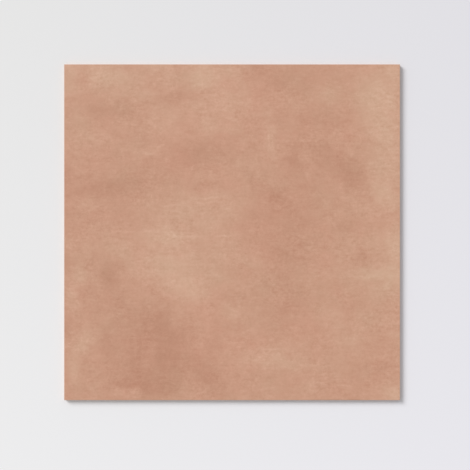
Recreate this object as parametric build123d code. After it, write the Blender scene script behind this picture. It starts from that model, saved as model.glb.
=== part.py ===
from build123d import *
from math import radians, tan
import os

# Square porcelain floor tile with a concrete-look face, pressed in one piece, fired and then ground to size.
# Millimetres. It lies face up: the origin is the middle of the bedding plane, and +Z comes out of the face.

# Format
MODULE = 600.0  # laying grid, which is one tile and one grout joint
JOINT = 3.0  # grout joint that the grid allows for
THICKNESS = 9.0  # from the bedding plane to the face

# Face
FACE_BEVEL = 0.4  # arris ground at 45 degrees round the face

# Back, pressed into a lattice of ribs that keys into the adhesive
BACK_RIM = 11.0  # plain band from the tile's edge to the outer pockets
POCKETS_PER_SIDE = 16
RIB_WIDTH = 5.0  # land between two pockets, on the bedding plane
POCKET_CORNER = 5.0  # leg of a pocket's cut corner, where the crossing ribs are thickened
POCKET_DEPTH = 0.8
POCKET_DRAFT = 40.0  # lean of a pocket's walls, in degrees from upright, that frees the press tool

# Worked out from the above
SIDE = MODULE - JOINT
POCKET_PITCH = (SIDE - 2 * BACK_RIM + RIB_WIDTH) / POCKETS_PER_SIDE
POCKET_MOUTH = POCKET_PITCH - RIB_WIDTH
WALL_RUN = POCKET_DEPTH * tan(radians(POCKET_DRAFT))  # how far a wall leans in over the pocket's depth


def ground_slab():
    """The slab with its square ground edges and the arris round its face."""
    slab = Box(SIDE, SIDE, THICKNESS, align=(Align.CENTER, Align.CENTER, Align.MIN))
    face = slab.faces().sort_by(Axis.Z)[-1]
    return chamfer(face.edges(), FACE_BEVEL)


def press_stud():
    """The tapered stud of the press tool that sinks one pocket. Half of it stays below the bedding plane."""
    mouth = chamfer(Rectangle(POCKET_MOUTH, POCKET_MOUTH).vertices(), POCKET_CORNER)
    foot = offset(mouth, WALL_RUN, kind=Kind.INTERSECTION)
    return extrude(Pos(Z=-POCKET_DEPTH) * foot, 2 * POCKET_DEPTH, taper=POCKET_DRAFT)


def porcelain_tile():
    """The whole tile: the slab less a grid of pockets, which leaves the ribs standing between them."""
    grid = GridLocations(POCKET_PITCH, POCKET_PITCH, POCKETS_PER_SIDE, POCKETS_PER_SIDE)
    return ground_slab() - grid * press_stud()


os.makedirs("parts", exist_ok=True)
export_step(porcelain_tile(), "parts/tile.step", write_pcurves=False)
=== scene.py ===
"""Dresses a concrete-look porcelain tile: its printed face, ground edges and keyed back, on a plain stage.

Lengths are in metres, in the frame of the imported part. The tile lies face up, with the origin in the middle
of its bedding plane and +Z out of the face.
"""

from math import radians, tan
from typing import NamedTuple

import bpy
from bpy.props import FloatProperty, FloatVectorProperty, IntProperty, PointerProperty
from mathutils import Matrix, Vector


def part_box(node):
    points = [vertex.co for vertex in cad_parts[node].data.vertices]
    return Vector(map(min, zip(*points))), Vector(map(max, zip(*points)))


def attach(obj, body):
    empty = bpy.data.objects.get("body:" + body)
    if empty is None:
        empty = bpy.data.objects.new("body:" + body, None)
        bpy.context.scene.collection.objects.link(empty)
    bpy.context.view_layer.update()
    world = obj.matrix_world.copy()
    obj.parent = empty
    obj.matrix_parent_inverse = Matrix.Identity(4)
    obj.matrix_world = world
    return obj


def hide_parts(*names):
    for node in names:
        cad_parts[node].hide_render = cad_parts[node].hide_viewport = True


bl_info = {
    "name": "Concrete-look Tile",
    "version": (1, 0, 0),
    "blender": (4, 5, 0),
    "location": "View3D > Sidebar > Tile",
    "description": "Builds a porcelain tile with a concrete-look face, and the stage it is shown on",
    "category": "Add Mesh",
}

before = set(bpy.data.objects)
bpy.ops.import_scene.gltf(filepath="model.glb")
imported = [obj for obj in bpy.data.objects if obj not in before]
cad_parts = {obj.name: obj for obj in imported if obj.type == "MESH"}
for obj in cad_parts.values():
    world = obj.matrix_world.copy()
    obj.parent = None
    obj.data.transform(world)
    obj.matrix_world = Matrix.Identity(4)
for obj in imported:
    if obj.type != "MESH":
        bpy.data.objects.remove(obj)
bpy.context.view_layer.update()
TILE_LOW, TILE_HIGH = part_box("tile")
SIDE = TILE_HIGH.x - TILE_LOW.x
THICKNESS = TILE_HIGH.z - TILE_LOW.z

# Where the photo shows the tile, in pixels of its frame
PHOTO_WIDTH = 470.0
PHOTO_TILE_SIDE = 335.9
PHOTO_TILE_CENTRE = Vector((232.07, 232.27))

# The tile's mesh
FACE_UP = 0.9  # least upward part of a normal on the face
BACK_DOWN = -0.2  # greatest upward part of a normal on the back
SHARP_EDGE = radians(35)  # an edge that turns by more stays crisp
WELD = 0.00001  # points nearer to each other than this become one
CORNER_POINTS = 3  # points that round a pocket's corner
WALL_RINGS = ((0.30, 0.85), (0.70, 0.15), (1.0, 0.0))  # shares of a pocket wall's run and height

# The floor's slight change of colour, as shares of its red, green and blue
FLOOR_RIGHTWARD = (-0.057, -0.068, -0.012)  # with each metre to the right
FLOOR_UPWARD = (-0.077, -0.078, -0.088)  # with each metre towards the top of the photo
FLOOR_CHANGES_TO = 0.6  # distance from the tile's middle at which the change is greatest
FLOOR_EVEN_FROM = 5.0  # distance from which the floor is even again
FLOOR_ROUGHNESS = 0.9

MIDDLE = 0.5  # of a scale from 0 to 1, such as that of noise, of tone or of a share
LEVEL = (1.0, 1.0, 0.0)  # leaves the height out of a place
VECTOR_SOCKETS = ("VECTOR", "RGBA")  # kinds of socket that carry three numbers


class Patch(NamedTuple):
    """A soft cloud of the print. Its place and size are shares of the tile's side."""

    across: float  # from the left edge to the middle of the patch
    down: float  # from the top edge to the middle of the patch
    length: float
    width: float
    lean: float  # degrees that the length is turned from level, anticlockwise
    tone: float  # how much paler, or darker if negative, on a scale where 1 is the print's whole range


class Layer(NamedTuple):
    """A layer of noise, and how strongly it shows."""

    scale: float  # lumps to the metre
    detail: float  # finer layers laid over the first
    roughness: float  # strength of each finer layer beside the one before it
    seed: float  # picks one noise of the kind
    squeeze: tuple = ()  # how many times narrower its lumps are along X, Y and Z
    in_colour: float = 0.0
    in_roughness: float = 0.0
    in_height: float = 0.0


class Finish(NamedTuple):
    """How rough a surface is, and how its finest relief is shaded."""

    roughness: float
    bump_strength: float
    bump_depth: float


# Clouds of the print, placed one by one
PALE_PATCHES = (
    Patch(0.335, 0.600, 0.38, 0.20, -55, 0.46),
    Patch(0.385, 0.675, 0.15, 0.09, -30, 0.30),
    Patch(0.310, 0.515, 0.26, 0.08, 0, 0.28),
    Patch(0.235, 0.605, 0.26, 0.15, -15, 0.22),
    Patch(0.410, 0.450, 0.50, 0.21, 0, 0.26),
    Patch(0.430, 0.395, 0.24, 0.04, -2, 0.14),
    Patch(0.460, 0.560, 0.24, 0.20, 0, 0.18),
    Patch(0.938, 0.105, 0.32, 0.20, 90, 0.58),
    Patch(0.970, 0.270, 0.46, 0.18, 90, 0.36),
    Patch(0.945, 0.390, 0.12, 0.10, 0, 0.36),
    Patch(0.985, 0.540, 0.20, 0.11, 90, 0.46),
    Patch(0.950, 0.622, 0.26, 0.07, 0, 0.42),
    Patch(0.125, 0.035, 0.34, 0.15, 0, 0.44),
    Patch(0.408, 0.025, 0.17, 0.13, 0, 0.56),
    Patch(0.470, 0.110, 0.36, 0.24, 0, 0.28),
    Patch(0.300, 0.165, 0.18, 0.13, 0, 0.26),
    Patch(0.425, 0.180, 0.07, 0.06, 0, 0.20),
    Patch(0.075, 0.225, 0.20, 0.10, 0, 0.18),
    Patch(0.612, 0.200, 0.26, 0.06, 98, 0.30),
    Patch(0.790, 0.080, 0.14, 0.11, 0, 0.22),
    Patch(0.680, 0.130, 0.09, 0.08, 0, 0.14),
    Patch(0.250, 0.265, 0.14, 0.04, 20, 0.14),
    Patch(0.712, 0.275, 0.07, 0.07, 0, 0.24),
    Patch(0.070, 0.412, 0.09, 0.07, 0, 0.18),
    Patch(0.130, 0.530, 0.40, 0.11, 0, 0.15),
    Patch(0.052, 0.630, 0.12, 0.08, 90, 0.32),
    Patch(0.026, 0.695, 0.14, 0.07, 90, 0.28),
    Patch(0.056, 0.825, 0.15, 0.08, 60, 0.34),
    Patch(0.026, 0.900, 0.14, 0.06, 90, 0.34),
    Patch(0.255, 0.870, 0.11, 0.08, 60, 0.20),
    Patch(0.610, 0.872, 0.30, 0.09, 0, 0.24),
    Patch(0.670, 0.892, 0.40, 0.06, -3, 0.16),
    Patch(0.490, 0.740, 0.09, 0.08, 0, 0.26),
    Patch(0.580, 0.588, 0.17, 0.08, 0, 0.24),
    Patch(0.710, 0.505, 0.07, 0.05, 0, 0.14),
    Patch(0.740, 0.635, 0.12, 0.09, 30, 0.18),
    Patch(0.790, 0.755, 0.18, 0.10, -35, 0.13),
    Patch(0.850, 0.820, 0.12, 0.09, 0, 0.16),
    Patch(0.720, 0.970, 0.16, 0.08, 0, 0.18),
    Patch(0.985, 0.985, 0.12, 0.10, 0, 0.46),
    Patch(0.985, 0.650, 0.11, 0.08, 0, 0.34),
    Patch(0.990, 0.815, 0.09, 0.08, 0, 0.24),
    Patch(0.325, 0.680, 0.13, 0.08, -20, 0.18),
    Patch(0.190, 0.975, 0.17, 0.06, 0, 0.28),
    Patch(0.280, 0.000, 0.13, 0.09, 0, 0.40),
    Patch(0.680, 0.390, 0.11, 0.07, -20, 0.16),
    Patch(0.988, 0.420, 0.10, 0.08, 0, 0.18),
    Patch(0.922, 0.525, 0.16, 0.06, 75, 0.14),
    Patch(0.305, 0.042, 0.14, 0.08, 0, 0.24),
    Patch(0.010, 0.070, 0.07, 0.09, 0, 0.30),
    Patch(0.230, 0.092, 0.24, 0.05, 0, 0.20),
    Patch(0.520, 0.030, 0.11, 0.08, -45, 0.20),
    Patch(0.470, 0.198, 0.26, 0.05, 0, 0.16),
    Patch(0.772, 0.422, 0.07, 0.05, -20, 0.20),
    Patch(0.180, 0.560, 0.11, 0.07, 0, 0.16),
    Patch(0.450, 0.640, 0.16, 0.10, -30, 0.17),
    Patch(0.335, 0.745, 0.12, 0.08, 70, 0.16),
    Patch(0.862, 0.678, 0.11, 0.05, -60, 0.20),
    Patch(0.950, 0.668, 0.13, 0.06, 0, 0.16),
    Patch(0.055, 0.162, 0.10, 0.08, -30, 0.20),
    Patch(0.930, 0.640, 0.95, 0.46, 90, 0.09),
    Patch(0.485, 0.015, 0.07, 0.08, 0, 0.26),
    Patch(0.985, 0.015, 0.12, 0.10, 0, 0.34),
    Patch(0.015, 0.010, 0.10, 0.08, 0, 0.30),
)
DARK_PATCHES = (
    Patch(0.255, 0.875, 0.46, 0.36, 80, -0.46),
    Patch(0.315, 0.865, 0.26, 0.11, -75, -0.28),
    Patch(0.270, 0.765, 0.22, 0.11, -20, -0.30),
    Patch(0.268, 0.960, 0.24, 0.10, 0, -0.36),
    Patch(0.160, 0.955, 0.18, 0.06, 10, -0.26),
    Patch(0.210, 0.900, 0.16, 0.06, 80, -0.16),
    Patch(0.140, 0.620, 0.13, 0.10, 60, -0.40),
    Patch(0.160, 0.705, 0.22, 0.10, -60, -0.26),
    Patch(0.070, 0.665, 0.11, 0.09, 0, -0.16),
    Patch(0.130, 0.830, 0.14, 0.08, 75, -0.24),
    Patch(0.360, 0.815, 0.16, 0.08, 10, -0.24),
    Patch(0.425, 0.928, 0.26, 0.13, -45, -0.42),
    Patch(0.448, 0.835, 0.16, 0.09, 50, -0.24),
    Patch(0.665, 0.520, 0.60, 0.34, 85, -0.24),
    Patch(0.700, 0.410, 0.40, 0.34, 0, -0.08),
    Patch(0.640, 0.398, 0.12, 0.09, 60, -0.27),
    Patch(0.570, 0.350, 0.15, 0.06, -60, -0.22),
    Patch(0.570, 0.458, 0.17, 0.10, 0, -0.18),
    Patch(0.640, 0.570, 0.16, 0.07, 0, -0.16),
    Patch(0.765, 0.322, 0.09, 0.07, 60, -0.18),
    Patch(0.670, 0.720, 0.22, 0.17, 30, -0.24),
    Patch(0.850, 0.325, 0.19, 0.14, -45, -0.44),
    Patch(0.770, 0.262, 0.22, 0.11, -20, -0.36),
    Patch(0.685, 0.285, 0.13, 0.11, -50, -0.38),
    Patch(0.840, 0.490, 0.16, 0.08, 0, -0.24),
    Patch(0.885, 0.570, 0.08, 0.07, 0, -0.28),
    Patch(0.120, 0.368, 0.40, 0.10, 3, -0.36),
    Patch(0.250, 0.330, 0.34, 0.14, 8, -0.18),
    Patch(0.040, 0.455, 0.14, 0.09, 0, -0.12),
    Patch(0.160, 0.430, 0.22, 0.12, 0, -0.12),
    Patch(0.415, 0.265, 0.38, 0.14, 5, -0.28),
    Patch(0.400, 0.280, 0.10, 0.07, -50, -0.16),
    Patch(0.132, 0.143, 0.30, 0.08, 0, -0.30),
    Patch(0.340, 0.098, 0.26, 0.06, 8, -0.30),
    Patch(0.062, 0.050, 0.08, 0.06, 0, -0.26),
    Patch(0.660, 0.035, 0.42, 0.18, 0, -0.22),
    Patch(0.570, 0.010, 0.13, 0.07, 0, -0.12),
    Patch(0.640, 0.060, 0.11, 0.07, 0, -0.12),
    Patch(0.560, 0.160, 0.14, 0.07, 80, -0.12),
    Patch(0.775, 0.168, 0.26, 0.11, -5, -0.24),
    Patch(0.660, 0.160, 0.36, 0.26, 0, -0.08),
    Patch(0.910, 0.915, 0.20, 0.10, 15, -0.18),
    Patch(0.965, 0.900, 0.11, 0.06, 0, -0.21),
    Patch(0.850, 0.700, 0.22, 0.11, -10, -0.18),
    Patch(0.960, 0.830, 0.11, 0.09, 0, -0.14),
    Patch(0.620, 0.790, 0.14, 0.06, 0, -0.12),
    Patch(0.000, 0.332, 0.12, 0.09, 0, -0.38),
    Patch(0.000, 0.590, 0.08, 0.10, 0, -0.26),
    Patch(0.000, 0.780, 0.08, 0.12, 0, -0.24),
    Patch(0.080, 0.918, 0.09, 0.07, 0, -0.20),
    Patch(0.110, 0.730, 0.11, 0.10, 0, -0.14),
    Patch(0.480, 0.765, 0.08, 0.10, 0, -0.14),
    Patch(0.415, 0.455, 0.12, 0.05, -10, -0.12),
    Patch(0.155, 0.275, 0.12, 0.06, -5, -0.18),
    Patch(0.230, 0.225, 0.13, 0.08, -20, -0.14),
    Patch(0.180, 0.008, 0.09, 0.06, 0, -0.24),
    Patch(0.975, 0.150, 0.08, 0.06, 0, -0.24),
    Patch(0.400, 0.362, 0.20, 0.05, -10, -0.18),
    Patch(0.735, 0.358, 0.13, 0.05, 0, -0.16),
    Patch(0.535, 0.490, 0.12, 0.05, 0, -0.18),
    Patch(0.310, 0.560, 0.15, 0.06, -35, -0.18),
    Patch(0.520, 0.700, 0.07, 0.06, 0, -0.18),
    Patch(0.160, 0.782, 0.09, 0.05, 0, -0.20),
    Patch(0.080, 0.520, 1.00, 0.44, 90, -0.06),
    Patch(0.625, 0.172, 0.08, 0.05, 20, -0.22),
)
# Thin marks of the trowel's edge
PALE_STROKES = (
    Patch(0.287, 0.245, 0.050, 0.014, 40, 0.36),
    Patch(0.255, 0.266, 0.080, 0.012, 6, 0.28),
    Patch(0.310, 0.420, 0.110, 0.010, 2, 0.22),
    Patch(0.190, 0.499, 0.360, 0.010, 0, 0.20),
    Patch(0.476, 0.511, 0.080, 0.012, 1, 0.32),
    Patch(0.702, 0.510, 0.060, 0.014, -12, 0.30),
    Patch(0.609, 0.225, 0.110, 0.012, 94, 0.18),
    Patch(0.623, 0.250, 0.120, 0.010, 100, 0.16),
    Patch(0.762, 0.392, 0.060, 0.010, -50, 0.26),
    Patch(0.800, 0.474, 0.070, 0.010, -55, 0.26),
    Patch(0.620, 0.848, 0.190, 0.012, 1, 0.20),
    Patch(0.880, 0.632, 0.160, 0.010, 0, 0.18),
    Patch(0.095, 0.425, 0.060, 0.012, 20, 0.26),
    Patch(0.430, 0.398, 0.160, 0.010, -2, 0.18),
    Patch(0.760, 0.630, 0.070, 0.010, 15, 0.20),
    Patch(0.150, 0.790, 0.060, 0.012, 45, 0.22),
    Patch(0.400, 0.412, 0.240, 0.012, 1, 0.16),
    Patch(0.360, 0.512, 0.220, 0.014, 0, 0.16),
    Patch(0.625, 0.872, 0.240, 0.050, 0, 0.14),
    Patch(0.660, 0.905, 0.200, 0.020, 1, 0.14),
    Patch(0.728, 0.338, 0.070, 0.020, -60, 0.22),
)

# Noise of the printed face, from the slowest to the finest
TINT = Layer(7.0, 5.0, 0.75, 11.0)
DRIFT = Layer(12.0, 2.0, 0.5, 1.0)
LIVELINESS = Layer(16.0, 3.0, 0.6, 9.0)
SCUFFED_PLACES = Layer(22.0, 2.0, 0.6, 8.0)
SCUFF_BANDS = Layer(28.0, 1.0, 0.5, 7.0, squeeze=(1.0, 2.2, 1.0))
SWIRL = Layer(30.0, 2.0, 0.6, 10.0)
MOTTLE = Layer(30.0, 4.0, 0.9, 3.0, squeeze=(1.0, 1.25, 1.0), in_colour=1.2, in_roughness=0.20)
BRUSHED = Layer(45.0, 2.0, 0.8, 4.0, squeeze=(1.0, 5.0, 1.0), in_colour=0.65, in_height=0.5)
FRAY = Layer(60.0, 4.0, 0.7, 2.0)
WISPS = Layer(75.0, 4.0, 0.75, 5.0, squeeze=(1.0, 1.3, 1.0), in_colour=1.05, in_height=1.0)
SPECKS = Layer(200.0, 1.0, 0.8, 12.0, in_colour=0.65)
GRAIN = Layer(800.0, 2.0, 0.6, 6.0, in_colour=0.50, in_roughness=0.12, in_height=1.0)

# How far noise carries the marks of the print from their places
CLOUD_DRIFT = 0.020
CLOUD_FRAY = 0.030
STROKE_FRAY = 0.013
BRUSHED_DRIFT = 0.025
WISP_SWIRL = 0.025

# The other marks of the print. A pair is where a mark begins and where it is full, or full and gone
CLOUDS_IN_COLOUR = 0.97
LIVELY_NOISE = (0.35, 0.65)
LIVELY_STRENGTH = (0.45, 1.45)  # of the fine marks, in quiet places and in lively ones
SCUFFED_NOISE = (0.52, 0.66)
SCUFF_LINE = (0.003, 0.014)  # noise to either side of the middle of its band
SCUFFS_IN_COLOUR = 0.30
PORE_CELLS = 120.0  # to the metre
PORE_RADIUS = (0.04, 0.11)  # in cells
PORELESS_CELLS = 0.72  # share of them
PORES_IN_COLOUR = 0.30
PORES_IN_HEIGHT = 1.5
FINE_CHANGE = (0.235, 0.365, 0.455)  # of red, green and blue, by the fine marks together
TINT_CHANGE = (0.130, -0.090, -0.040)
FACE_FINISH = Finish(0.70, 0.5, 0.0002)

# The ground edge
GRINDING = Layer(
    60.0, 4.0, 0.6, 1.0, squeeze=(1.0, 1.0, 60.0), in_colour=0.6, in_roughness=0.15, in_height=1.0
)
BODY_GRAINS = Layer(900.0, 2.0, 0.6, 2.0, in_colour=0.9, in_height=0.5)
EDGE_CONTRAST = 0.12  # how much paler and darker than its mean the body gets
EDGE_FINISH = Finish(0.55, 0.3, 0.00015)

# The pressed back
FLASHING = Layer(9.0, 4.0, 0.6, 1.0, in_colour=0.8)
WASH_PATCHES = Layer(30.0, 5.0, 0.7, 3.0, in_colour=0.6, in_height=0.5)
GRIT = Layer(700.0, 3.0, 0.6, 2.0, in_colour=0.7, in_roughness=0.2, in_height=1.0)
BACK_CONTRAST = 0.15  # how much paler and darker than its mean the skin gets
WASH_NOISE = (0.35, 0.65)
WASH_HEIGHT = (0.00005, 0.00025)  # above the bedding plane, where the wash is full and where it is gone
BACK_FINISH = Finish(0.75, 0.4, 0.0002)

# Relief of the face
RELIEF_BEND = Layer(6.0, 1.0, 0.5, 0.0)
RELIEF_WAVES = Layer(8.0, 2.0, 0.5, 1.0, in_height=0.45)
RELIEF_STROKES = Layer(9.0, 3.0, 0.55, 2.0, squeeze=(1.0, 8.0, 1.0), in_height=0.40)
RELIEF_SKIN = Layer(150.0, 1.0, 0.5, 3.0, in_height=0.15)
STROKE_BEND = 0.025  # how far the strokes are bent out of level
RELIEF_NOISE = (0.25, 0.75)


class TileSizes(bpy.types.PropertyGroup):
    """Sizes that the tile is built to."""

    side: FloatProperty(
        name="Side", description="Length of each edge", default=SIDE, unit="LENGTH", precision=4
    )
    thickness: FloatProperty(
        name="Thickness", description="From the bedding plane to the face", default=THICKNESS, unit="LENGTH",
        precision=4,
    )
    bevel: FloatProperty(
        name="Bevel", description="Arris ground at 45 degrees round the face", default=0.0004, unit="LENGTH",
        precision=4,
    )
    face_cells: IntProperty(
        name="Face Cells", description="Cells along each side of the face's mesh", default=256, min=8
    )
    relief: FloatProperty(
        name="Relief", description="Deepest hollow that the trowel look leaves in the face", default=0.00016,
        unit="LENGTH", precision=5,
    )
    pockets: IntProperty(
        name="Pockets", description="Pockets along each side of the back", default=16, min=1
    )
    rim: FloatProperty(
        name="Rim", description="Plain band from the edge to the outer pockets", default=0.011,
        unit="LENGTH", precision=4,
    )
    rib: FloatProperty(
        name="Rib", description="Land between two pockets", default=0.005, unit="LENGTH", precision=4
    )
    pocket_corner: FloatProperty(
        name="Pocket Corner", description="Radius of a pocket's corners", default=0.005, unit="LENGTH",
        precision=4,
    )
    pocket_depth: FloatProperty(
        name="Pocket Depth", description="Depth of a pocket", default=0.0008, unit="LENGTH", precision=4
    )
    pocket_draft: FloatProperty(
        name="Pocket Draft", description="Lean of a pocket's walls from upright", default=radians(40),
        subtype="ANGLE",
    )
    seed: FloatProperty(
        name="Seed", description="Picks another relief of the same kind", default=3.0
    )


class TileColours(bpy.types.PropertyGroup):
    """Colours of the print, the body and the back."""

    pale: FloatVectorProperty(
        name="Pale Clay", description="Palest tone of the print", default=(0.603, 0.366, 0.251), size=3,
        subtype="COLOR", min=0, max=1,
    )
    clay: FloatVectorProperty(
        name="Rosy Clay", description="Middle tone of the print", default=(0.556, 0.302, 0.203), size=3,
        subtype="COLOR", min=0, max=1,
    )
    dark: FloatVectorProperty(
        name="Dark Clay", description="Darkest tone of the print", default=(0.488, 0.249, 0.161), size=3,
        subtype="COLOR", min=0, max=1,
    )
    body: FloatVectorProperty(
        name="Body", description="Fired body where it is ground", default=(0.585, 0.405, 0.305), size=3,
        subtype="COLOR", min=0, max=1,
    )
    back: FloatVectorProperty(
        name="Back", description="Fired skin of the pressed back", default=(0.480, 0.295, 0.210), size=3,
        subtype="COLOR", min=0, max=1,
    )
    wash: FloatVectorProperty(
        name="Kiln Wash", description="Chalky wash that the kiln rollers leave on the ribs",
        default=(0.640, 0.560, 0.490), size=3, subtype="COLOR", min=0, max=1,
    )


class StageSettings(bpy.types.PropertyGroup):
    """The floor, the light and the camera."""

    floor: FloatVectorProperty(
        name="Floor", description="Colour of the floor", default=(0.800, 0.795, 0.816), size=3,
        subtype="COLOR", min=0, max=1,
    )
    floor_side: FloatProperty(
        name="Floor Side", description="Length of each side of the floor", default=24.0, unit="LENGTH"
    )
    sky: FloatProperty(
        name="Sky", description="Strength of the even light from all round", default=0.51, min=0
    )
    sun: FloatProperty(
        name="Sun", description="Strength of the soft light from the upper left", default=2.62, min=0
    )
    sun_spread: FloatProperty(
        name="Sun Spread", description="How wide the soft light looks from the tile", default=radians(30),
        subtype="ANGLE",
    )
    sun_from: FloatVectorProperty(
        name="Sun From", description="Where the soft light comes from", default=(-1.05, 0.88, 1.0), size=3,
        subtype="DIRECTION",
    )
    under_light_from: FloatVectorProperty(
        name="Under Light From", description="Where the light on the tile's back comes from",
        default=(-0.8, 0.5, -1.0), size=3, subtype="DIRECTION",
    )
    lens: FloatProperty(
        name="Lens", description="Focal length of the camera", default=85.0, unit="CAMERA"
    )


class Wire:
    """An output of a node. Arithmetic adds Math nodes, or Vector Math nodes for vectors and colours."""

    def __init__(self, graph, socket):
        self.graph = graph
        self.socket = socket

    def __add__(self, other):
        return self.graph.math("ADD", self, other)

    def __radd__(self, other):
        return self.graph.math("ADD", other, self)

    def __sub__(self, other):
        return self.graph.math("SUBTRACT", self, other)

    def __rsub__(self, other):
        return self.graph.math("SUBTRACT", other, self)

    def __mul__(self, other):
        return self.graph.math("MULTIPLY", self, other)

    def __rmul__(self, other):
        return self.graph.math("MULTIPLY", other, self)

    def __truediv__(self, other):
        return self.graph.math("DIVIDE", self, other)

    def __lt__(self, other):
        return self.graph.math("LESS_THAN", self, other)

    def __gt__(self, other):
        return self.graph.math("GREATER_THAN", self, other)


def is_vector(value):
    """Whether a value is a tuple, or a wire that carries a vector or a colour."""
    if isinstance(value, Wire):
        return value.socket.type in VECTOR_SOCKETS
    return isinstance(value, tuple)


class Graph:
    """Adds nodes to a node tree and links them."""

    def __init__(self, tree):
        self.tree = tree

    @staticmethod
    def find(sockets, name):
        """A socket by its number, or the socket in use that has this name."""
        if isinstance(name, int):
            return sockets[name]
        return next(socket for socket in sockets if socket.enabled and socket.name == name)

    def node(self, kind, settings=None, sockets=None, output=0):
        """Adds a node with its settings, then the values or links of its sockets, and returns one output."""
        made = self.tree.nodes.new(kind)
        for name, value in (settings or {}).items():
            setattr(made, name, value)
        for name, value in (sockets or {}).items():
            socket = self.find(made.inputs, name)
            if isinstance(value, Wire):
                self.tree.links.new(value.socket, socket)
            else:
                socket.default_value = value
        return Wire(self, self.find(made.outputs, output)) if made.outputs else made

    def other(self, wire, output):
        """Another output of the node that a wire comes from."""
        return Wire(self, self.find(wire.socket.node.outputs, output))

    def math(self, operation, *values):
        """Adds a Math node, or a Vector Math node where one of the values is a vector or a colour."""
        vector = any(is_vector(value) for value in values)
        kind = "ShaderNodeVectorMath" if vector else "ShaderNodeMath"
        spread = [(each,) * 3 if vector and isinstance(each, (int, float)) else each for each in values]
        return self.node(kind, {"operation": operation}, dict(enumerate(spread)))

    def smooth_step(self, value, low, high, to_low=0.0, to_high=1.0):
        """A smooth climb from one number to another while a value goes from low to high."""
        return self.node(
            "ShaderNodeMapRange",
            {"interpolation_type": "SMOOTHSTEP"},
            {"Value": value, "From Min": low, "From Max": high, "To Min": to_low, "To Max": to_high},
        )

    def noise(self, place, layer, seed=0.0, output=0):
        """A layer of noise, from 0 to 1."""
        return self.node(
            "ShaderNodeTexNoise",
            {"noise_dimensions": "4D"},
            {
                "Vector": place * layer.squeeze if layer.squeeze else place,
                "Scale": layer.scale,
                "Detail": layer.detail,
                "Roughness": layer.roughness,
                "W": seed + layer.seed,
            },
            output,
        )

    def uneven(self, place, layer):
        """A layer of noise about zero."""
        return self.noise(place, layer) - MIDDLE

    def wander(self, place, layer, seed=0.0):
        """A layer of noise about zero with a number for each axis, which carries marks from their places."""
        return self.noise(place, layer, seed, "Color") - MIDDLE

    def mix(self, share, first, second):
        """A colour between two colours."""
        return self.node(
            "ShaderNodeMix",
            {"data_type": "RGBA"},
            {"Factor": share, "A": opaque(first), "B": opaque(second)},
            "Result",
        )


def opaque(colour):
    """A colour in the form that a socket takes."""
    return colour if isinstance(colour, Wire) else (*colour, 1.0)


def darker_and_paler(colour, share):
    """Two colours, as far below and above a colour as a share of it."""
    return [part * (1.0 - share) for part in colour], [part * (1.0 + share) for part in colour]


def new_material(name):
    """A material with a plain Principled shader, as the material, its graph and the shader's inputs."""
    material = bpy.data.materials.new(name)
    material.use_nodes = True
    shader = material.node_tree.nodes["Principled BSDF"]
    return material, Graph(material.node_tree), shader.inputs


def finish_material(graph, shader, finish, colour, uneven_roughness, height):
    """Links colour and roughness to the shader, and a height through a Bump node to its normal."""
    bump = graph.node(
        "ShaderNodeBump",
        None,
        {"Strength": finish.bump_strength, "Distance": finish.bump_depth, "Height": height},
    )
    roughness = finish.roughness + uneven_roughness
    for name, wire in (("Base Color", colour), ("Roughness", roughness), ("Normal", bump)):
        graph.tree.links.new(wire.socket, shader[name])


def printed_face(colours):
    """The matt concrete-look print: clouds, strokes, brushed streaks, grain and pores."""
    material, graph, shader = new_material("printed face")
    place = graph.node("ShaderNodeTexCoord", None, None, "Object") * LEVEL
    drift = graph.wander(place, DRIFT)
    fray = graph.wander(place, FRAY)
    swirl = graph.wander(place, SWIRL)
    torn = place + drift * CLOUD_DRIFT + fray * CLOUD_FRAY
    brushed_on = place + fray * STROKE_FRAY
    clouds = sum(cloud(graph, torn, patch) for patch in PALE_PATCHES + DARK_PATCHES)
    strokes = sum(cloud(graph, brushed_on, stroke) for stroke in PALE_STROKES)
    mottle = graph.uneven(place, MOTTLE)
    brushed = graph.uneven(place + drift * BRUSHED_DRIFT, BRUSHED)
    wisps = graph.uneven(place + swirl * WISP_SWIRL, WISPS)
    specks = graph.uneven(place, SPECKS)
    grain = graph.uneven(place, GRAIN)
    tint = graph.uneven(place, TINT)
    scuffs = scuff_mask(graph, brushed_on)
    pores = pore_mask(graph, place)
    lively = graph.smooth_step(graph.noise(place, LIVELINESS), *LIVELY_NOISE, *LIVELY_STRENGTH)

    tone = MIDDLE + clouds * CLOUDS_IN_COLOUR
    lower = graph.mix(tone * 2.0, colours.dark, colours.clay)
    printed = graph.mix(tone * 2.0 - 1.0, lower, colours.pale)
    streaks = brushed * BRUSHED.in_colour + wisps * WISPS.in_colour + specks * SPECKS.in_colour
    skin = mottle * MOTTLE.in_colour + streaks * lively + grain * GRAIN.in_colour
    fine = skin + strokes + scuffs * SCUFFS_IN_COLOUR - pores * PORES_IN_COLOUR
    colour = printed * (fine * FINE_CHANGE + 1.0) * (tint * TINT_CHANGE + 1.0)
    uneven_roughness = mottle * MOTTLE.in_roughness + grain * GRAIN.in_roughness
    raised = grain * GRAIN.in_height + wisps * WISPS.in_height + brushed * BRUSHED.in_height
    finish_material(graph, shader, FACE_FINISH, colour, uneven_roughness, raised - pores * PORES_IN_HEIGHT)
    return material


def cloud(graph, place, patch):
    """One patch, as tone that fades to nothing at the ends of its length and width."""
    local = graph.node(
        "ShaderNodeMapping",
        {"vector_type": "TEXTURE"},
        {
            "Vector": place,
            "Location": ((patch.across - MIDDLE) * SIDE, (MIDDLE - patch.down) * SIDE, 0.0),
            "Rotation": (0.0, 0.0, radians(patch.lean)),
            "Scale": (patch.length * SIDE / 2, patch.width * SIDE / 2, 1.0),
        },
    )
    nearness = graph.node("ShaderNodeTexGradient", {"gradient_type": "SPHERICAL"}, {"Vector": local}, 1)
    return graph.smooth_step(nearness, 0.0, 1.0, 0.0, patch.tone)


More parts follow.
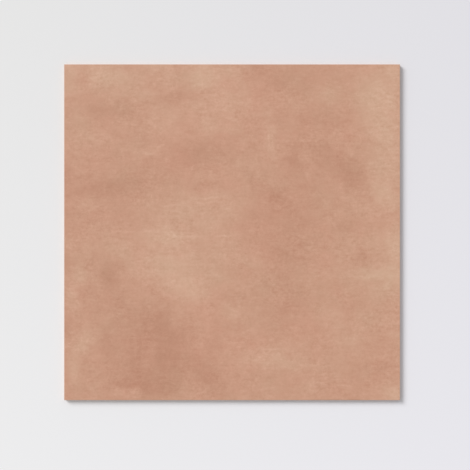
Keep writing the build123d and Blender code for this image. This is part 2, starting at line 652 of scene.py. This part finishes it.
def scuff_mask(graph, place):
    """Thin wandering lines, as a trowel's edge leaves them, in scattered places only."""
    line = 1.0 - graph.smooth_step(graph.math("ABSOLUTE", graph.uneven(place, SCUFF_BANDS)), *SCUFF_LINE)
    return line * graph.smooth_step(graph.noise(place, SCUFFED_PLACES), *SCUFFED_NOISE)


def pore_mask(graph, place):
    """Pinholes in the skin, one in a few of the cells of an uneven net."""
    net = graph.node(
        "ShaderNodeTexVoronoi", {"feature": "F1"}, {"Vector": place, "Scale": PORE_CELLS}, "Distance"
    )
    chance = graph.node("ShaderNodeSeparateColor", None, {"Color": graph.other(net, "Color")}, "Red")
    return (1.0 - graph.smooth_step(net, *PORE_RADIUS)) * (chance > PORELESS_CELLS)


def ground_edge(colours):
    """The fired body where it is ground: fine lines along the edge, and grains of the body."""
    material, graph, shader = new_material("ground edge")
    place = graph.node("ShaderNodeTexCoord", None, None, "Object")
    lines = graph.uneven(place, GRINDING)
    grains = graph.uneven(place, BODY_GRAINS)
    dark, pale = darker_and_paler(colours.body, EDGE_CONTRAST)
    colour = graph.mix(MIDDLE + lines * GRINDING.in_colour + grains * BODY_GRAINS.in_colour, dark, pale)
    height = lines * GRINDING.in_height + grains * BODY_GRAINS.in_height
    finish_material(graph, shader, EDGE_FINISH, colour, lines * GRINDING.in_roughness, height)
    return material


def pressed_back(colours):
    """The pressed back: a dull fired skin, with chalky kiln wash left on the ribs."""
    material, graph, shader = new_material("pressed back")
    place = graph.node("ShaderNodeTexCoord", None, None, "Object")
    above = graph.node("ShaderNodeSeparateXYZ", None, {"Vector": place}, "Z")
    flashing = graph.uneven(place, FLASHING)
    grit = graph.uneven(place, GRIT)
    dark, pale = darker_and_paler(colours.back, BACK_CONTRAST)
    skin = graph.mix(MIDDLE + flashing * FLASHING.in_colour + grit * GRIT.in_colour, dark, pale)
    patchy = graph.smooth_step(graph.noise(place, WASH_PATCHES), *WASH_NOISE)
    wash = patchy * (1.0 - graph.smooth_step(above, *WASH_HEIGHT))
    colour = graph.mix(wash * WASH_PATCHES.in_colour, skin, colours.wash)
    height = grit * GRIT.in_height + wash * WASH_PATCHES.in_height
    finish_material(graph, shader, BACK_FINISH, colour, grit * GRIT.in_roughness, height)
    return material


def boundary_edges(graph):
    """The edges that have only one face so far."""
    faces = graph.node("GeometryNodeInputMeshEdgeNeighbors")
    return graph.node(
        "FunctionNodeCompare", {"data_type": "INT", "operation": "EQUAL"}, {"A": faces, "B": 1}
    )


def next_ring(graph, mesh, spread, height):
    """Extrudes a mesh's open edges, and sets the new ring at a height, larger by a factor."""
    grown = graph.node(
        "GeometryNodeExtrudeMesh",
        {"mode": "EDGES"},
        {"Mesh": mesh, "Selection": boundary_edges(graph), "Offset Scale": 0.0},
    )
    place = graph.node("GeometryNodeInputPosition")
    level = graph.node("ShaderNodeCombineXYZ", None, {"Z": height})
    flat = graph.node("ShaderNodeCombineXYZ", None, {"X": spread, "Y": spread})
    return graph.node(
        "GeometryNodeSetPosition",
        None,
        {"Geometry": grown, "Selection": graph.other(grown, "Top"), "Position": place * flat + level},
    )


def trowel_relief(graph, seed):
    """How deep the face lies below its highest point, from 0 to 1: waves, level strokes and a fine skin."""
    place = graph.node("GeometryNodeInputPosition")
    bent = place + graph.wander(place, RELIEF_BEND, seed) * STROKE_BEND
    waves = graph.noise(place, RELIEF_WAVES, seed) * RELIEF_WAVES.in_height
    strokes = graph.noise(bent, RELIEF_STROKES, seed) * RELIEF_STROKES.in_height
    skin = graph.noise(place, RELIEF_SKIN, seed) * RELIEF_SKIN.in_height
    return graph.smooth_step(waves + strokes + skin, *RELIEF_NOISE)


def face_and_edges(graph, value):
    """The face with its relief, and the bevel and ground edges below it, open underneath."""
    face_side = value["Side"] - value["Bevel"] * 2.0
    corners = value["Face Cells"] + 1.0
    grid = graph.node(
        "GeometryNodeMeshGrid",
        None,
        {"Size X": face_side, "Size Y": face_side, "Vertices X": corners, "Vertices Y": corners},
    )
    height = value["Thickness"] - trowel_relief(graph, value["Seed"]) * value["Relief"]
    raised = graph.node(
        "GeometryNodeSetPosition",
        None,
        {"Geometry": grid, "Offset": graph.node("ShaderNodeCombineXYZ", None, {"Z": height})},
    )
    bevelled = next_ring(graph, raised, value["Side"] / face_side, value["Thickness"] - value["Bevel"])
    return next_ring(graph, bevelled, 1.0, 0.0)


def square(graph, side):
    """A square curve round the origin."""
    return graph.node("GeometryNodeCurvePrimitiveQuadrilateral", None, {"Width": side, "Height": side})


def back_pocket(graph, value, mouth):
    """One pocket round the origin, with eased edges, open at its mouth on the bedding plane."""
    run = value["Pocket Run"]
    depth = value["Pocket Depth"]
    floor_side = mouth - run * 2.0
    rounded = graph.node(
        "GeometryNodeFilletCurve",
        {"mode": "POLY"},
        {"Curve": square(graph, floor_side), "Count": CORNER_POINTS, "Radius": value["Pocket Corner"]},
    )
    floor = graph.node("GeometryNodeFillCurve", {"mode": "NGONS"}, {"Curve": rounded})
    pocket = graph.node(
        "GeometryNodeTransform",
        None,
        {"Geometry": floor, "Translation": graph.node("ShaderNodeCombineXYZ", None, {"Z": depth})},
    )
    reach = 1.0
    for share_out, share_up in WALL_RINGS:
        side = floor_side + run * (2.0 * share_out)
        pocket = next_ring(graph, pocket, side / floor_side / reach, depth * share_up)
        reach = side / floor_side
    return pocket


def open_loops(graph, mesh):
    """The open edges of a mesh as curves."""
    return graph.node("GeometryNodeMeshToCurve", None, {"Mesh": mesh, "Selection": boundary_edges(graph)})


def filled(graph, *loops):
    """The level area between an outer loop and the loops inside it."""
    return graph.node("GeometryNodeFillCurve", {"mode": "TRIANGLES"}, {"Curve": join(graph, *loops)})


def welded(graph, *parts):
    """Several meshes as one, with the points that meet made one."""
    return graph.node(
        "GeometryNodeMergeByDistance", None, {"Geometry": join(graph, *parts), "Distance": WELD}
    )


def back_lattice(graph, value):
    """The pockets of the back and the ribs between them: one square cell, repeated."""
    pitch = (value["Side"] - value["Rim"] * 2.0 + value["Rib"]) / value["Pockets"]
    pocket = back_pocket(graph, value, pitch - value["Rib"])
    land = filled(graph, square(graph, pitch), open_loops(graph, pocket))
    span = pitch * (value["Pockets"] - 1.0)
    grid = graph.node(
        "GeometryNodeMeshGrid",
        None,
        {"Size X": span, "Size Y": span, "Vertices X": value["Pockets"], "Vertices Y": value["Pockets"]},
    )
    cells = graph.node(
        "GeometryNodeInstanceOnPoints", None, {"Points": grid, "Instance": welded(graph, land, pocket)}
    )
    return welded(graph, graph.node("GeometryNodeRealizeInstances", None, {"Geometry": cells}))


def tile_tree():
    """The whole tile as one tree: the face and edges, the pockets, and the bedding plane between them."""
    tree = bpy.data.node_groups.new("porcelain tile", "GeometryNodeTree")
    graph = Graph(tree)
    kinds = {
        "Side": "NodeSocketFloat",
        "Thickness": "NodeSocketFloat",
        "Bevel": "NodeSocketFloat",
        "Face Cells": "NodeSocketInt",
        "Relief": "NodeSocketFloat",
        "Pockets": "NodeSocketInt",
        "Rim": "NodeSocketFloat",
        "Rib": "NodeSocketFloat",
        "Pocket Corner": "NodeSocketFloat",
        "Pocket Depth": "NodeSocketFloat",
        "Pocket Run": "NodeSocketFloat",
        "Seed": "NodeSocketFloat",
        "Printed Face": "NodeSocketMaterial",
        "Ground Edge": "NodeSocketMaterial",
        "Pressed Back": "NodeSocketMaterial",
    }
    for name, kind in kinds.items():
        tree.interface.new_socket(name, in_out="INPUT", socket_type=kind)
    tree.interface.new_socket("Mesh", in_out="OUTPUT", socket_type="NodeSocketGeometry")
    first = graph.node("NodeGroupInput")
    value = {name: graph.other(first, name) for name in kinds}

    shell = face_and_edges(graph, value)
    lattice = back_lattice(graph, value)
    rim = filled(graph, open_loops(graph, shell), open_loops(graph, lattice))
    underside = graph.node("GeometryNodeFlipFaces", None, {"Mesh": join(graph, lattice, rim)})
    whole = welded(graph, shell, underside)
    whole = graph.node(
        "GeometryNodeSetShadeSmooth", {"domain": "FACE"}, {"Geometry": whole, "Shade Smooth": True}
    )
    turn = graph.node("GeometryNodeInputMeshEdgeAngle")
    whole = graph.node(
        "GeometryNodeSetShadeSmooth",
        {"domain": "EDGE"},
        {"Geometry": whole, "Selection": turn > SHARP_EDGE, "Shade Smooth": False},
    )
    whole = graph.node("GeometryNodeRealizeInstances", None, {"Geometry": whole})
    up = graph.node("ShaderNodeSeparateXYZ", None, {"Vector": graph.node("GeometryNodeInputNormal")}, "Z")
    for material, where in (
        ("Ground Edge", True),
        ("Printed Face", up > FACE_UP),
        ("Pressed Back", up < BACK_DOWN),
    ):
        whole = graph.node(
            "GeometryNodeSetMaterial",
            None,
            {"Geometry": whole, "Selection": where, "Material": value[material]},
        )
    graph.node("NodeGroupOutput", None, {"Mesh": whole})
    return tree


def join(graph, *parts):
    """Several geometries as one."""
    joined = graph.node("GeometryNodeJoinGeometry")
    for part in parts:
        graph.tree.links.new(part.socket, joined.socket.node.inputs[0])
    return joined


def plain_mesh(name, tree, values):
    """An object at the origin with the mesh that a tree makes from these values, and no modifier left."""
    piece = bpy.data.objects.new(name, bpy.data.meshes.new(name))
    bpy.context.scene.collection.objects.link(piece)
    modifier = piece.modifiers.new(name, "NODES")
    modifier.node_group = tree
    for item in tree.interface.items_tree:
        if item.in_out == "INPUT":
            modifier[item.identifier] = values[item.name]
    made = piece.evaluated_get(bpy.context.evaluated_depsgraph_get())
    piece_mesh = bpy.data.meshes.new_from_object(made)
    piece.modifiers.clear()
    piece.data = piece_mesh
    piece_mesh.name = name
    for slot in reversed(range(len(piece_mesh.materials))):
        if piece_mesh.materials[slot] is None:
            piece_mesh.materials.pop(index=slot)
    return piece


class TILE_OT_build(bpy.types.Operator):
    """Build the porcelain tile in place of its plain solid"""

    bl_idname = "tile.build"
    bl_label = "Build Tile"

    def execute(self, context):
        sizes = context.scene.tile_sizes
        colours = context.scene.tile_colours
        values = {
            "Side": sizes.side,
            "Thickness": sizes.thickness,
            "Bevel": sizes.bevel,
            "Face Cells": sizes.face_cells,
            "Relief": sizes.relief,
            "Pockets": sizes.pockets,
            "Rim": sizes.rim,
            "Rib": sizes.rib,
            "Pocket Corner": sizes.pocket_corner,
            "Pocket Depth": sizes.pocket_depth,
            "Pocket Run": sizes.pocket_depth * tan(sizes.pocket_draft),
            "Seed": sizes.seed,
            "Printed Face": printed_face(colours),
            "Ground Edge": ground_edge(colours),
            "Pressed Back": pressed_back(colours),
        }
        tile = plain_mesh("porcelain_tile", tile_tree(), values)
        if not tile.data.polygons:
            raise RuntimeError("The tile's tree made no faces")
        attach(tile, "root")
        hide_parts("tile")
        return {"FINISHED"}


def floor_material(colour):
    """A plain matt floor that is dimmer to the right and up, and that the camera sees through from below."""
    material, graph, shader = new_material("plain floor")
    place = graph.node("ShaderNodeTexCoord", None, None, "Object")
    away = graph.node("ShaderNodeVectorMath", {"operation": "LENGTH"}, {0: place}, "Value")
    fade = graph.smooth_step(away, FLOOR_CHANGES_TO, FLOOR_EVEN_FROM, 1.0, 0.0)
    reach = graph.math("MINIMUM", away, FLOOR_CHANGES_TO) * fade
    right = graph.node("ShaderNodeSeparateXYZ", None, {"Vector": place * (reach / away)}, "X")
    change = right * FLOOR_RIGHTWARD + graph.other(right, "Y") * FLOOR_UPWARD
    graph.tree.links.new(((change + 1.0) * tuple(colour)).socket, shader["Base Color"])
    shader["Roughness"].default_value = FLOOR_ROUGHNESS
    shader["Specular IOR Level"].default_value = 0.0
    below = graph.node("ShaderNodeNewGeometry", None, None, "Backfacing")
    seen = graph.node("ShaderNodeLightPath", None, None, "Is Camera Ray")
    clear = graph.node("ShaderNodeBsdfTransparent")
    solid = graph.tree.nodes["Principled BSDF"].outputs[0]
    both = graph.node("ShaderNodeMixShader", None, {0: below * seen, 1: Wire(graph, solid), 2: clear})
    graph.tree.links.new(both.socket, graph.tree.nodes["Material Output"].inputs["Surface"])
    return material


def make_floor(side, opening, material):
    """A level floor with an opening under the tile, which lets light reach the back from below."""
    outer = side / 2
    inner = opening / 2
    around = ((-1, -1), (1, -1), (1, 1), (-1, 1))
    corners = [(x * half, y * half, 0.0) for half in (outer, inner) for x, y in around]
    next_corners = zip(range(4), (1, 2, 3, 0))
    faces = [(here, after, after + 4, here + 4) for here, after in next_corners]
    mesh = bpy.data.meshes.new("floor")
    mesh.from_pydata(corners, [], faces)
    mesh.materials.append(material)
    floor = bpy.data.objects.new("floor", mesh)
    bpy.context.scene.collection.objects.link(floor)


def make_sky(strength, background):
    """An even sky for light, which the camera, mirrors and glass see in the floor's colour."""
    world = bpy.data.worlds.new("studio")
    world.use_nodes = True
    graph = Graph(world.node_tree)
    path = graph.node("ShaderNodeLightPath", None, None, "Is Camera Ray")
    seen = path + graph.other(path, "Is Glossy Ray") + graph.other(path, "Is Transmission Ray")
    light = graph.node("ShaderNodeBackground", None, {"Color": (1.0, 1.0, 1.0, 1.0), "Strength": strength})
    view = graph.node("ShaderNodeBackground", None, {"Color": opaque(background), "Strength": 1.0})
    both = graph.node("ShaderNodeMixShader", None, {0: seen, 1: light, 2: view})
    graph.tree.links.new(both.socket, world.node_tree.nodes["World Output"].inputs["Surface"])
    bpy.context.scene.world = world


def make_sun(name, towards, strength, spread):
    """A soft light from far off, in the direction given from the tile."""
    lamp = bpy.data.lights.new(name, "SUN")
    lamp.energy = strength
    lamp.angle = spread
    sun = bpy.data.objects.new(name, lamp)
    sun.rotation_euler = Vector(towards).to_track_quat("Z", "Y").to_euler()
    bpy.context.scene.collection.objects.link(sun)


def make_camera(lens):
    """A camera straight above the tile, which puts it where the photo has it."""
    camera = bpy.data.cameras.new("camera")
    camera.lens = lens
    metres_per_pixel = SIDE / PHOTO_TILE_SIDE
    distance = PHOTO_WIDTH * metres_per_pixel * lens / camera.sensor_width
    aside = (Vector((PHOTO_WIDTH, PHOTO_WIDTH)) / 2 - PHOTO_TILE_CENTRE) * metres_per_pixel
    holder = bpy.data.objects.new("camera", camera)
    holder.location = (aside.x, -aside.y, THICKNESS + distance)
    bpy.context.scene.collection.objects.link(holder)
    bpy.context.scene.camera = holder


class TILE_OT_set_stage(bpy.types.Operator):
    """Set the floor, the light and the camera"""

    bl_idname = "tile.set_stage"
    bl_label = "Set Stage"

    def execute(self, context):
        stage = context.scene.tile_stage
        make_floor(stage.floor_side, context.scene.tile_sizes.side, floor_material(stage.floor))
        make_sky(stage.sky, stage.floor)
        make_sun("upper left light", stage.sun_from, stage.sun, stage.sun_spread)
        make_sun("under light", stage.under_light_from, stage.sun, stage.sun_spread)
        make_camera(stage.lens)
        context.scene.view_settings.view_transform = "Standard"
        return {"FINISHED"}


class TILE_PT_sidebar(bpy.types.Panel):
    """Lists the tile's sizes and colours, its stage, and what builds them"""

    bl_label = "Concrete-look Tile"
    bl_space_type = "VIEW_3D"
    bl_region_type = "UI"
    bl_category = "Tile"

    def draw(self, context):
        scene = context.scene
        groups = (
            (scene.tile_sizes, TILE_OT_build),
            (scene.tile_colours, None),
            (scene.tile_stage, TILE_OT_set_stage),
        )
        for group, operator in groups:
            box = self.layout.box()
            for name in group.__annotations__:
                box.prop(group, name)
            if operator:
                box.operator(operator.bl_idname)


CLASSES = (TileSizes, TileColours, StageSettings, TILE_OT_build, TILE_OT_set_stage, TILE_PT_sidebar)
GROUPS = {"tile_sizes": TileSizes, "tile_colours": TileColours, "tile_stage": StageSettings}


def register():
    for each in CLASSES:
        bpy.utils.register_class(each)
    for name, group in GROUPS.items():
        setattr(bpy.types.Scene, name, PointerProperty(type=group))


def unregister():
    for name in GROUPS:
        delattr(bpy.types.Scene, name)
    for each in reversed(CLASSES):
        bpy.utils.unregister_class(each)


def main():
    register()
    bpy.ops.tile.build()
    bpy.ops.tile.set_stage()


if __name__ == "__main__":
    main()
